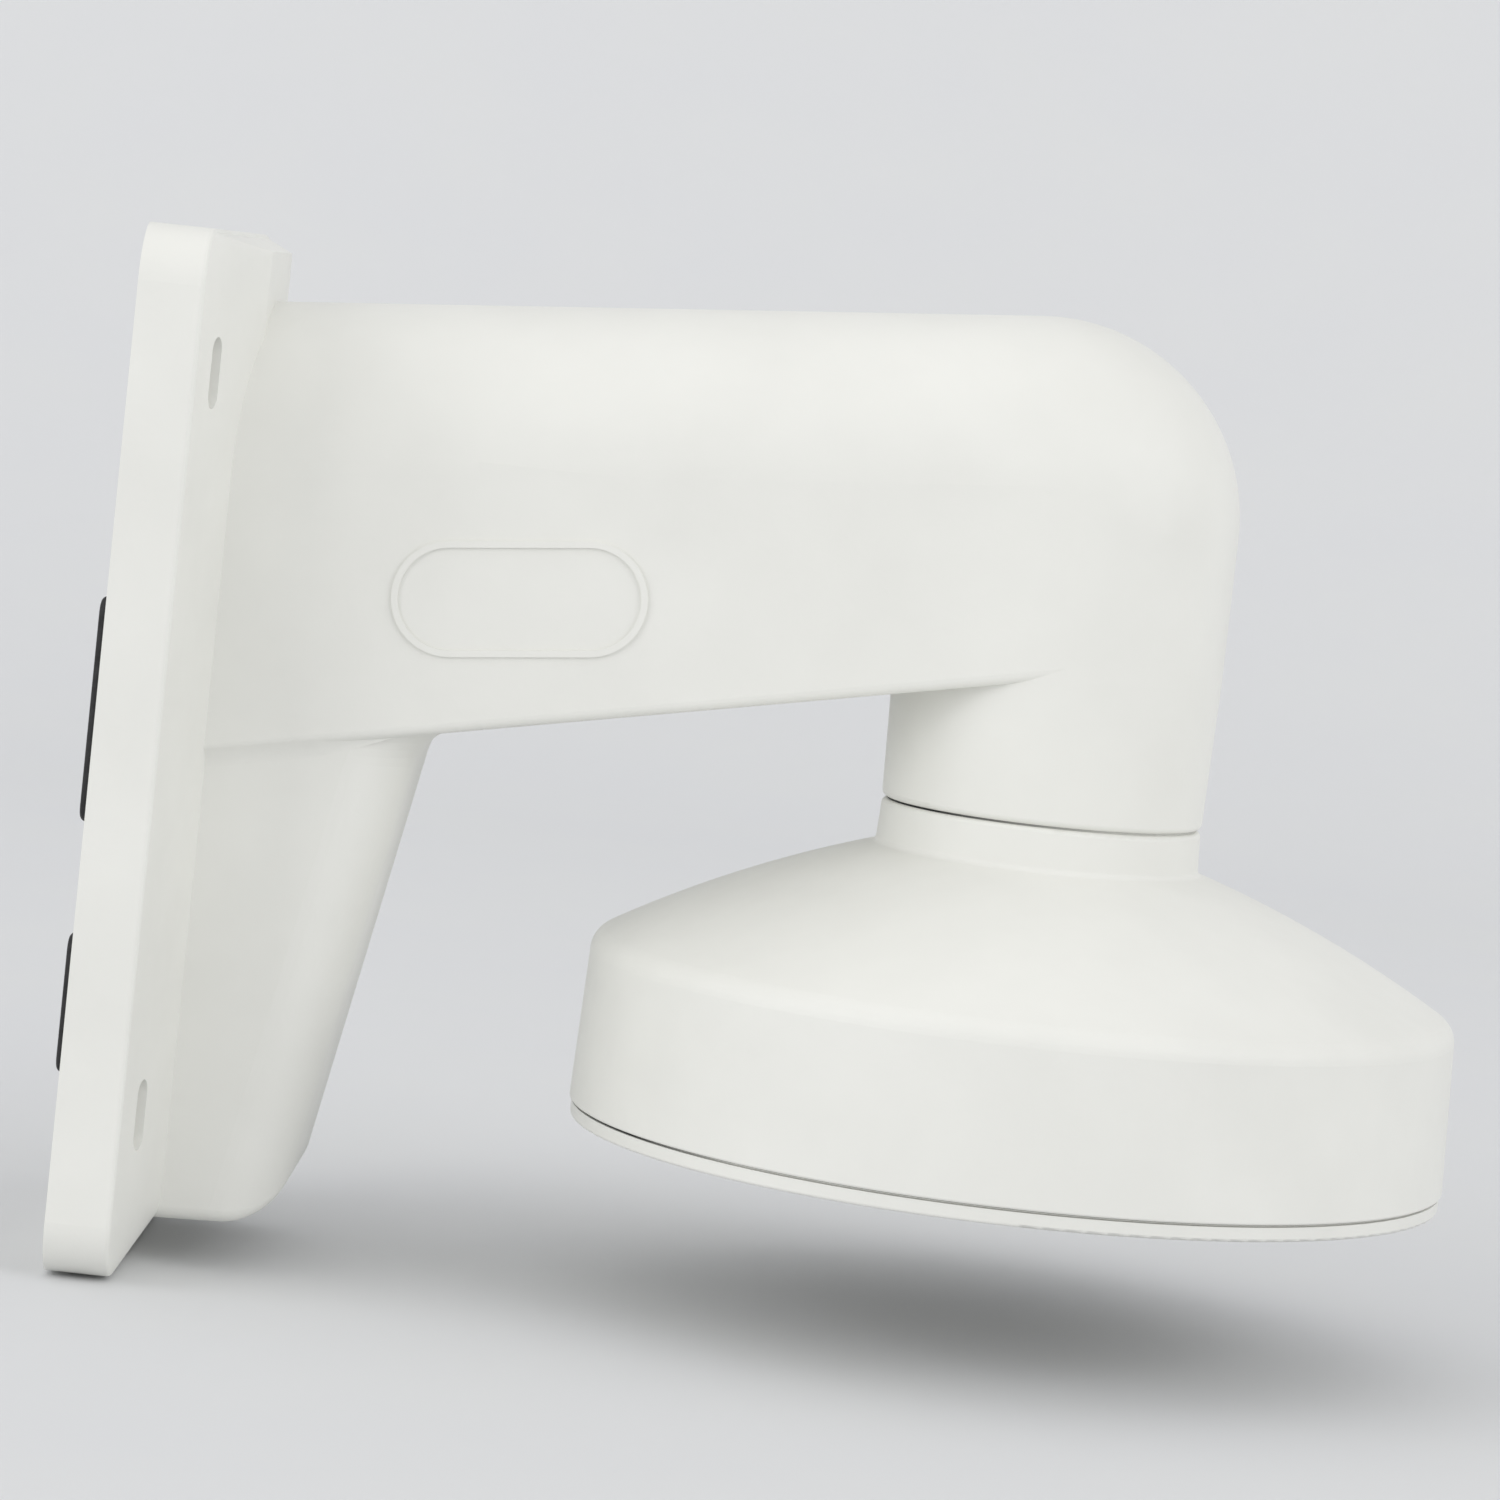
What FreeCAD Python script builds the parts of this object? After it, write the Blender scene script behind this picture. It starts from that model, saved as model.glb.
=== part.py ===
import math
import os

import FreeCAD
import Part

# Wall bracket with a square-set neck and a round mounting cap, all in millimetres.
# X runs out from the wall, Y across it and Z up. The origin is in the middle of the plate's back face.

# Wall plate
PLATE_W = 94.0
PLATE_H = 155.3
PLATE_EDGE = 9.8
PLATE_CORNER = 8.5
PLATE_ROUND = 0.7
PAD_X = 15.95
PAD_W = 31.2
PAD_TOP_DROP = 2.45
PAD_BOTTOM_RISE = 11.2
PAD_CORNER = 1.5
SLOT_W = 4.4
SLOT_L = 10.6
SLOT_Y = 38.0
SLOT_RISE = 1.7
SLOT_Z = 55.0
SLOT_WALL = 4.0
POCKET_DEPTH = 6.4
RIM = 3.4
RIB_T = 2.0
RIB_Z = 21.0

# Arm, elbow and neck
ARM_HALF = 25.2
CROWN_X = 19.3
CROWN_Z = 68.0
CROWN_SLOPE = 0.0897
UNDER_X = 50.1
UNDER_Z = 6.75
UNDER_SLOPE = 0.199
UNDER_ROUND = 1.6
ELBOW_R = 30.7
NECK_AXIS = 140.6
NECK_END_Z = 2.6
NECK_END_R = 24.65
NECK_END_ROUND = 1.0
WALL = 3.2

# Gusset under the arm
GUSSET_HALF = 23.9
GUSSET_FOOT_Z = -70.95
GUSSET_FOOT_SLOPE = 0.035
GUSSET_TOE = 10.0
GUSSET_HIGH = (43.5, -7.3)
GUSSET_LOW = (36.3, -44.7)
GUSSET_THROAT = 8.2
GUSSET_NOSE = 10.0
GUSSET_ABOVE = 18.0
GUSSET_FOOT_ROUND = 2.0

# Plaque on the side of the arm
PLAQUE_X = 58.6
PLAQUE_Z = 27.9
PLAQUE_L = 38.3
PLAQUE_H = 17.3
PLAQUE_RIM = 1.0
PLAQUE_PROUD = 0.45
PLAQUE_TILT = 6.1

# Rear cover, its seal and the two rubber inserts
COVER_T = 2.0
COVER_HALF = 25.0
COVER_TOP = 67.0
COVER_FOOT = -71.0
COVER_CORNER = 6.0
COVER_SET_BACK = 0.2
COVER_GAP = 0.3
SEAL_T = 0.6
SEAL_HALF = 22.3
SEAL_FOOT = -68.5
SEAL_TOP = 64.5
SEAL_CORNER = 1.2
INSERT_PROUD = 4.6
INSERT_CORNER = 2.6
INSERT_ROUND = 1.0
GROMMET_Z = 3.8
GROMMET_HALF = (17.0, 17.2)
GROMMET_HOLE = 14.5
GROMMET_BORE = 4.5
PLUG_Z = -41.3
PLUG_HALF = (15.5, 10.8)
PLUG_HOLE = 8.0
INSERT_LIP = 1.7
INSERT_LIP_T = 2.2
COVER_SCREW_R = 1.5
COVER_SCREW_HEAD = 3.0
COVER_SCREW_TOP = (20.3, 61.5)
COVER_SCREW_FOOT = (18.1, -65.1)
COVER_SCREW_L = 9.0
COVER_BOSS_R = 4.2

# Mounting cap
CAP_TOP_GAP = 0.3
CAP_BORE = 12.4
CAP_FLOOR = 4.4
COLLAR_TOP_R = 24.55
COLLAR_FOOT_R = 24.9
CONE_HIGH = (30.7, -6.25)
CONE_LOW = (66.6, -23.2)
CONE_R = 195.0
SHOULDER = 4.0
CAP_FOOT_ROUND = 0.35
COLLAR_TOP_ROUND = 0.8
COLLAR_FOOT_ROUND = 1.0
CAP_R = 67.5
CAP_FOOT_Z = -48.5
CAP_WALL = 3.0
CAP_WELL = 21.0

# Screws between cap and neck
NECK_SCREW_PITCH_R = 17.0
NECK_SCREW_R = 2.0
NECK_SCREW_HEAD = 3.9
NECK_SCREW_HEAD_T = 2.6
NECK_SCREW_L = 16.0
NECK_BOSS_R = 4.6
NECK_BOSS_H = 16.0
WASHER_R = 4.0
WASHER_T = 0.8
CLEARANCE = 0.25

# Adapter ring, its seal, and the camera's screw circle
RING_SET_IN = 0.4
RING_T = 2.2
RING_SEAL_T = 0.4
RING_SEAL_EDGE = 0.9
RING_OPEN_R = 42.0
RING_LIP = 2.4
RING_LIP_H = 3.0
RING_SCREW_PITCH_R = 57.0
RING_SCREW_R = 2.0
RING_SCREW_HEAD = 4.0
RING_SCREW_L = 12.0
RING_BOSS_R = 5.0
CAMERA_PITCH_R = 50.0
CAMERA_HOLE_R = 2.0
CAMERA_BOSS_R = 4.6
CAMERA_BOSS_H = 5.0

# Eye screw for the camera's safety cord
EYE_PITCH_R = 36.0
EYE_BOSS_R = 4.8
EYE_BOSS_FOOT = -21.0
EYE_STUD_R = 2.0
EYE_STUD_L = 7.0
EYE_COLLAR_R = 4.0
EYE_COLLAR_T = 1.4
EYE_RING_R = 5.2
EYE_WIRE_R = 1.3

# Lengths of blanks that are cut back: longer than the bracket, and deeper than the arm at its root
FAR = 400.0
UNDER_REACH = 90.0

# Derived places
CROWN_ANGLE = math.atan(CROWN_SLOPE)
UNDER_ANGLE = math.atan(UNDER_SLOPE)
ELBOW_X = NECK_AXIS + ARM_HALF - ELBOW_R
CAP_TOP_Z = NECK_END_Z - CAP_TOP_GAP
RING_R = CAP_R - RING_SET_IN
RING_TOP_Z = CAP_FOOT_Z - RING_SEAL_T
RING_FOOT_Z = RING_TOP_Z - RING_T
RECESS_DEPTH = COVER_SET_BACK + COVER_T + SEAL_T
V = FreeCAD.Vector
UP = V(0, 0, 1)
OUT = V(1, 0, 0)
ACROSS = V(0, 1, 0)


def crown_z(x):
    return CROWN_Z + CROWN_SLOPE * (x - CROWN_X)


def under_z(x):
    return UNDER_Z + UNDER_SLOPE * (x - UNDER_X)


def foot_z(x):
    return GUSSET_FOOT_Z + GUSSET_FOOT_SLOPE * (x - PAD_X)


ELBOW_Z = crown_z(ELBOW_X) - ELBOW_R / math.cos(CROWN_ANGLE)


# Closed outline through corner points, each given as a point and a corner radius.
def outline(corners):
    edges = []
    count = len(corners)
    starts = []
    ends = []
    middles = []
    for i in range(count):
        point, radius = corners[i]
        before = corners[i - 1][0] - point
        after = corners[(i + 1) % count][0] - point
        before.normalize()
        after.normalize()
        half_angle = before.getAngle(after) / 2.0
        reach = radius / math.tan(half_angle)
        bisector = before + after
        bisector.normalize()
        centre = point + bisector * (radius / math.sin(half_angle))
        starts.append(point + before * reach)
        ends.append(point + after * reach)
        middles.append(centre - bisector * radius)
    for i in range(count):
        if corners[i][1] > 0:
            edges.append(Part.Arc(starts[i], middles[i], ends[i]).toShape())
        edges.append(Part.makeLine(ends[i], starts[(i + 1) % count]))
    return Part.Wire(edges)


# Upright rectangle with round corners, parallel to the wall.
def wall_rectangle(x, half, low, high, corner):
    points = [V(x, -half, low), V(x, half, low), V(x, half, high), V(x, -half, high)]
    return outline([(point, corner) for point in points])


def prism(wire, direction):
    return Part.Face(wire).extrude(direction)


def edges_where(shape, test):
    return [edge for edge in shape.Edges if test(edge)]


# Circles about an upright axis through x, with the given radius and height.
def ring_edges(shape, x, radius, z):
    found = []
    for edge in shape.Edges:
        if isinstance(edge.Curve, Part.Circle):
            centre = edge.Curve.Center
            level = abs(centre.z - z) < 0.05 and abs(edge.Curve.Radius - radius) < 0.05
            if level and abs(centre.x - x) < 0.01 and abs(centre.y) < 0.01:
                found.append(edge)
    return found


# Turned piece about an upright axis at the neck, from corners given as radius and height.
def turned(points):
    wire = Part.makePolygon([V(NECK_AXIS + r, 0, z) for r, z in points + points[:1]])
    return Part.Face(wire).revolve(V(NECK_AXIS, 0, 0), UP, 360)


# Points at even angles around the neck axis.
def around_neck(radius, z, first_angle):
    places = []
    for step in range(3):
        angle = math.radians(first_angle + 120 * step)
        places.append(V(NECK_AXIS + radius * math.cos(angle), radius * math.sin(angle), z))
    return places


# Straight slot with round ends, standing upright, cut along X.
def slot(y, z, width, length, x, depth):
    wire = wall_rectangle(x, width / 2, -length / 2, length / 2, width / 2 - 0.001)
    wire.translate(V(0, y, z))
    return prism(wire, OUT * depth)


# Arch section in a plane across the crown line, at the elbow's centre, reaching down by the given depth.
def arch_face(half, top, depth):
    lift = V(-math.sin(CROWN_ANGLE), 0, math.cos(CROWN_ANGLE))
    centre = V(ELBOW_X, 0, ELBOW_Z)
    left_foot = centre - ACROSS * half - lift * depth
    right_foot = centre + ACROSS * half - lift * depth
    left_spring = centre - ACROSS * half + lift * (top - half)
    right_spring = centre + ACROSS * half + lift * (top - half)
    crown = centre + lift * top
    edges = [
        Part.makeLine(left_foot, left_spring),
        Part.Arc(left_spring, crown, right_spring).toShape(),
        Part.makeLine(right_spring, right_foot),
        Part.makeLine(right_foot, left_foot),
    ]
    return Part.Face(Part.Wire(edges))


# Arm, elbow and neck as one form. An inset gives the duct inside it.
def arm_form(inset, start_x, end_z):
    half = ARM_HALF - inset
    top = ELBOW_R - inset
    along = V(math.cos(CROWN_ANGLE), 0, math.sin(CROWN_ANGLE))
    arm = arch_face(half, top, UNDER_REACH).extrude(along * -FAR)
    elbow = arch_face(half, top, 0).revolve(V(ELBOW_X, 0, ELBOW_Z), ACROSS, 90 + math.degrees(CROWN_ANGLE))
    corner = V(NECK_AXIS - UNDER_REACH, -half, ELBOW_Z - UNDER_REACH)
    block = Part.makeBox(UNDER_REACH, 2 * half, UNDER_REACH, corner)
    arm = arm.fuse([elbow, block])
    rise = V(-math.sin(UNDER_ANGLE), 0, math.cos(UNDER_ANGLE))
    run = V(math.cos(UNDER_ANGLE), 0, math.sin(UNDER_ANGLE))
    under = V(UNDER_X, 0, UNDER_Z) + rise * inset - run * FAR
    low_corner = max(UNDER_ROUND - inset / 2, 0.6)
    tray = outline([
        (under - ACROSS * half, low_corner),
        (under + ACROSS * half, low_corner),
        (under + ACROSS * half + rise * FAR, 0),
        (under - ACROSS * half + rise * FAR, 0),
    ])
    arm = arm.common(prism(tray, run * FAR * 2))
    arm = arm.common(Part.makeBox(FAR, FAR, FAR, V(start_x, -FAR / 2, -FAR / 2)))
    meet_z = under_z(NECK_AXIS)
    neck_low = Part.makeCone(NECK_END_R - inset, half, meet_z - end_z, V(NECK_AXIS, 0, end_z), UP)
    neck_high = Part.makeCylinder(half, ELBOW_Z - meet_z, V(NECK_AXIS, 0, meet_z), UP)
    arm = arm.fuse([neck_low, neck_high]).removeSplitter()
    if inset:
        return arm
    return arm.makeFillet(NECK_END_ROUND, ring_edges(arm, NECK_AXIS, NECK_END_R, NECK_END_Z))


# Level section of the gusset, square at the wall and round at its front corners.
def gusset_level(front, back, half, corner, z):
    return outline([
        (V(back, -half, z), 0),
        (V(front, -half, z), corner),
        (V(front, half, z), corner),
        (V(back, half, z), 0),
    ])


# Gusset web between plate and arm, flared where it meets the arm. An inset gives the hollow inside it.
def gusset_form(inset, start_x):
    half = GUSSET_HALF - inset
    slope = (GUSSET_HIGH[0] - GUSSET_LOW[0]) / (GUSSET_HIGH[1] - GUSSET_LOW[1])
    front_x0 = GUSSET_LOW[0] - slope * GUSSET_LOW[1] - inset * math.hypot(1, slope)
    lift = inset * math.hypot(1, GUSSET_FOOT_SLOPE)
    throat_x = (front_x0 + slope * under_z(0)) / (1 - slope * UNDER_SLOPE)
    toe_x = (front_x0 + slope * (foot_z(0) + lift)) / (1 - slope * GUSSET_FOOT_SLOPE)
    toe = V(toe_x, 0, foot_z(toe_x) + lift)
    front = V(throat_x, 0, under_z(throat_x)) - toe
    front.normalize()
    foot = V(-1, 0, -GUSSET_FOOT_SLOPE)
    foot.normalize()
    profile = [toe - front * GUSSET_TOE]
    if inset:
        profile.append(V(throat_x, 0, under_z(throat_x)))
    else:
        profile += throat_points(V(throat_x, 0, under_z(throat_x)), front * -1)
    profile.append(profile[-1] + UP * GUSSET_ABOVE)
    levels = [gusset_level(p.x, start_x, half, GUSSET_NOSE - inset, p.z) for p in profile]
    web = Part.makeLoft(levels, True, True)
    return web.cut(under_toe(toe, front, foot, GUSSET_TOE - inset, half))


# Points along the hollow curve between the gusset's front and the arm's underside.
def throat_points(corner, down):
    out = V(1, 0, UNDER_SLOPE)
    out.normalize()
    half_angle = down.getAngle(out) / 2
    reach = GUSSET_THROAT / math.tan(half_angle)
    bisector = down + out
    bisector.normalize()
    middle = corner + bisector * (GUSSET_THROAT / math.sin(half_angle) - GUSSET_THROAT)
    curve = Part.Arc(corner + down * reach, middle, corner + out * reach).toShape()
    return curve.discretize(8)


# Everything below the gusset's foot and outside its round toe.
def under_toe(toe, front, foot, radius, half):
    half_angle = front.getAngle(foot) / 2
    reach = radius / math.tan(half_angle)
    bisector = front + foot
    bisector.normalize()
    middle = toe + bisector * (radius / math.sin(half_angle) - radius)
    low = toe + foot * reach
    high = toe + front * reach
    back = toe + foot * GUSSET_ABOVE * 4
    drop = UP * GUSSET_ABOVE * -2
    edges = [Part.Arc(low, middle, high).toShape()]
    corners = [high, high + OUT * GUSSET_ABOVE, high + OUT * GUSSET_ABOVE + drop, back + drop, back, low]
    for i in range(len(corners) - 1):
        edges.append(Part.makeLine(corners[i], corners[i + 1]))
    return Part.Face(Part.Wire(edges)).extrude(ACROSS * (2 * half + 2)).translated(ACROSS * (-half - 1))


# Plate blank: a slab with round corners and a low hipped front that rises to a narrow flat pad.
def plate_form():
    high = PLATE_H / 2
    half = PLATE_W / 2
    sections = [wall_rectangle(0, half, -high, high, PLATE_CORNER)]
    for degrees in (0, 30, 60, 85):
        angle = math.radians(degrees)
        x = PLATE_EDGE - PLATE_ROUND * (1 - math.sin(angle))
        trim = PLATE_ROUND * (1 - math.cos(angle))
        sections.append(wall_rectangle(x, half - trim, trim - high, high - trim, PLATE_CORNER - trim))
    sections.append(wall_rectangle(PAD_X, PAD_W / 2, PAD_BOTTOM_RISE - high, high - PAD_TOP_DROP, PAD_CORNER))
    return Part.makeLoft(sections, True, True)


# Pocket behind one side of the plate, leaving ribs and a wall round each slot.
def side_pocket(side):
    inner = COVER_HALF + COVER_GAP + RIM
    outer = PLATE_W / 2 - RIM
    high = PLATE_H / 2 - RIM
    wire = wall_rectangle(-1, (outer - inner) / 2, -high, high, 2.0)
    wire.translate(V(0, side * (outer + inner) / 2, 0))
    pocket = prism(wire, OUT * (POCKET_DEPTH + 1))
    keep = []
    for end in (-1, 1):
        width = SLOT_W + 2 * SLOT_WALL
        keep.append(slot(side * SLOT_Y, SLOT_RISE + end * SLOT_Z, width, SLOT_L + 2 * SLOT_WALL, -2, PAD_X))
        corner = V(-2, side * SLOT_Y + inner - outer, end * RIB_Z - RIB_T / 2)
        keep.append(Part.makeBox(PAD_X, 2 * (outer - inner), RIB_T, corner))
    return pocket.cut(keep)


def plaque_rim():
    tilt = -PLAQUE_TILT
    deep = 0.6
    rings = []
    for trim in (0, PLAQUE_RIM):
        half_l = PLAQUE_L / 2 - trim
        half_h = PLAQUE_H / 2 - trim
        face_y = -ARM_HALF - PLAQUE_PROUD
        points = [V(-half_l, face_y, -half_h), V(half_l, face_y, -half_h)]
        points += [V(half_l, face_y, half_h), V(-half_l, face_y, half_h)]
        wire = outline([(point, half_h - 0.001) for point in points])
        rings.append(prism(wire, ACROSS * (PLAQUE_PROUD + deep * (1 - trim))))
    rim = rings[0].cut(rings[1])
    rim.rotate(V(0, 0, 0), ACROSS, tilt)
    rim.translate(V(PLAQUE_X, 0, PLAQUE_Z))
    return rim


def cover_screw_places():
    places = []
    for y, z in (COVER_SCREW_TOP, COVER_SCREW_FOOT):
        places.append(V(0, -y, z))
        places.append(V(0, y, z))
    return places


# Hollow aluminium casting: plate, gusset, arm, elbow and neck.
def bracket_body():
    plate = plate_form()
    body = plate.fuse([arm_form(0, PLATE_EDGE - 3, NECK_END_Z), gusset_blank()])
    body = body.removeSplitter()
    body = body.cut([arm_form(WALL, -1, NECK_END_Z - 0.001), gusset_form(WALL, -1)])
    bosses = []
    holes = []
    for place in around_neck(NECK_SCREW_PITCH_R, NECK_END_Z, 60):
        bosses.append(Part.makeCylinder(NECK_BOSS_R, NECK_BOSS_H, place, UP))
        holes.append(Part.makeCylinder(NECK_SCREW_R, NECK_BOSS_H - 2, place, UP))
    for place in cover_screw_places():
        if place.z < 0:
            bosses.append(Part.makeCylinder(COVER_BOSS_R, 12, place, OUT))
        holes.append(Part.makeCylinder(COVER_SCREW_R, RECESS_DEPTH + COVER_SCREW_L, place, OUT))
    body = body.fuse(bosses)
    half = COVER_HALF + COVER_GAP
    recess = wall_rectangle(-1, half, COVER_FOOT - COVER_GAP, COVER_TOP + COVER_GAP, COVER_CORNER + COVER_GAP)
    holes.append(prism(recess, OUT * (RECESS_DEPTH + 1)))
    for side in (-1, 1):
        holes.append(side_pocket(side))
        for end in (-1, 1):
            holes.append(slot(side * SLOT_Y, SLOT_RISE + end * SLOT_Z, SLOT_W, SLOT_L, -1, 2 * PAD_X))
    body = body.cut(holes)
    body = body.fuse(plaque_rim()).removeSplitter()
    return body


# Gusset with its foot and toe edges rounded.
def gusset_blank():
    gusset = gusset_form(0, PLATE_EDGE - 3)
    reach = GUSSET_HALF - 0.01
    rounded = []
    for edge in gusset.Edges:
        box = edge.BoundBox
        if box.ZMax < GUSSET_FOOT_Z + GUSSET_TOE and box.XMax > PAD_X and box.ZMin < GUSSET_FOOT_Z + 4:
            if box.YMin > reach or box.YMax < -reach:
                rounded.append(edge)
    return gusset.makeFillet(GUSSET_FOOT_ROUND, rounded)


# Rear cover plate over the open back of the casting.
def rear_cover():
    wire = wall_rectangle(COVER_SET_BACK, COVER_HALF, COVER_FOOT, COVER_TOP, COVER_CORNER)
    cover = prism(wire, OUT * COVER_T)
    holes = [
        Part.makeCylinder(GROMMET_HOLE, 10, V(-1, 0, GROMMET_Z), OUT),
        Part.makeCylinder(PLUG_HOLE, 10, V(-1, 0, PLUG_Z), OUT),
    ]
    for place in cover_screw_places():
        holes.append(screw_shape(place, OUT, COVER_SCREW_R + 0.1, COVER_SCREW_HEAD + 0.1, COVER_SET_BACK, 10))
    return cover.cut(holes)


# Countersunk screw: a cone head flush with its seat and a plain shank.
def screw_shape(place, direction, shank_r, head_r, sink, length):
    top = place + direction * sink
    deep = head_r - shank_r
    head = Part.makeCone(head_r, shank_r, deep, top, direction)
    shank = Part.makeCylinder(shank_r, length, top, direction)
    return head.fuse(shank).removeSplitter()


# Flat seal between the rear cover and the casting, open over the arm's duct and the gusset's hollow.
def rear_seal():
    x = COVER_SET_BACK + COVER_T
    outer = wall_rectangle(x, COVER_HALF, COVER_FOOT, COVER_TOP, COVER_CORNER)
    inner = wall_rectangle(x, SEAL_HALF, SEAL_FOOT, SEAL_TOP, SEAL_CORNER)
    return prism(outer, OUT * SEAL_T).cut(prism(inner, OUT * SEAL_T))


def rear_cover_screws():
    screws = []
    for place in cover_screw_places():
        length = RECESS_DEPTH + COVER_SCREW_L - COVER_SET_BACK - 1
        screw = screw_shape(place, OUT, COVER_SCREW_R, COVER_SCREW_HEAD, COVER_SET_BACK, length)
        start = place + OUT * (COVER_SET_BACK - 0.01)
        recess = Part.makeCylinder(0.9, 1.1, start, OUT)
        screws.append(screw.cut(recess))
    return Part.makeCompound(screws)


# Rubber insert with an oblong head behind the rear cover, a round hub in its hole and an inner lip.
def rubber_insert(z, half, hole):
    cover_in = COVER_SET_BACK + COVER_T
    face = wall_rectangle(-INSERT_PROUD, half[0], z - half[1], z + half[1], INSERT_CORNER)
    head = prism(face, OUT * (INSERT_PROUD + COVER_SET_BACK))
    head = head.makeFillet(INSERT_ROUND, edges_where(head, lambda edge: edge.BoundBox.XMax < 0))
    hub = Part.makeCylinder(hole, COVER_T, V(COVER_SET_BACK, 0, z), OUT)
    lip = Part.makeCone(hole + INSERT_LIP, hole, INSERT_LIP_T, V(cover_in, 0, z), OUT)
    return head.fuse([hub, lip]).removeSplitter()


def cable_grommet():
    body = rubber_insert(GROMMET_Z, GROMMET_HALF, GROMMET_HOLE)
    funnel = Part.makeCone(2 * GROMMET_BORE, GROMMET_BORE, GROMMET_BORE, V(-INSERT_PROUD, 0, GROMMET_Z), OUT)
    bore = Part.makeCylinder(GROMMET_BORE, 2 * PLATE_EDGE, V(-INSERT_PROUD, 0, GROMMET_Z), OUT)
    relief = Part.makeCone(GROMMET_HOLE - 6, GROMMET_HOLE - 3, 4, V(1.5, 0, GROMMET_Z), OUT)
    return body.cut([funnel, bore, relief])


def blanking_plug():
    body = rubber_insert(PLUG_Z, PLUG_HALF, PLUG_HOLE)
    dimple = Part.makeCylinder(PLUG_HOLE / 2, 1, V(-INSERT_PROUD, 0, PLUG_Z), OUT)
    relief = Part.makeCylinder(PLUG_HOLE - 2.5, PLATE_EDGE, V(-1, 0, PLUG_Z), OUT)
    return body.cut([dimple, relief])


# Thin rubber gasket between the neck's end and the cap's collar.
def neck_gasket():
    outer = NECK_END_R - NECK_END_ROUND
    gasket = turned([(CAP_BORE, CAP_TOP_Z), (outer, CAP_TOP_Z), (outer, NECK_END_Z), (CAP_BORE, NECK_END_Z)])
    places = around_neck(NECK_SCREW_PITCH_R, 1, 60)
    return gasket.cut([Part.makeCylinder(NECK_SCREW_R, NECK_END_Z, place, UP) for place in places])


# Centre of the arc through two points, given as radius and height, that bulges upward.
def arc_centre(high, low, radius):
    mid_r = (high[0] + low[0]) / 2
    mid_z = (high[1] + low[1]) / 2
    run = low[0] - high[0]
    fall = low[1] - high[1]
    chord = math.hypot(run, fall)
    reach = math.sqrt(radius * radius - chord * chord / 4)
    return (mid_r + fall / chord * reach, mid_z - run / chord * reach)


def arc_height(centre, radius, r):
    return centre[1] + math.sqrt(radius * radius - (r - centre[0]) ** 2)


# Inner end, middle and outer edge of the cap's cone, on the arc with the given centre and radius.
def cap_skin(centre, radius, inset):
    foot_r = COLLAR_FOOT_R
    edge_r = CONE_LOW[0] - inset
    foot = (foot_r, arc_height(centre, radius, foot_r))
    edge = (edge_r, arc_height(centre, radius, edge_r))
    middle_r = (foot_r + edge_r) / 2
    middle = (middle_r, arc_height(centre, radius, middle_r))
    return foot, middle, edge


def spot(pair):
    return V(NECK_AXIS + pair[0], 0, pair[1])


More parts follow.
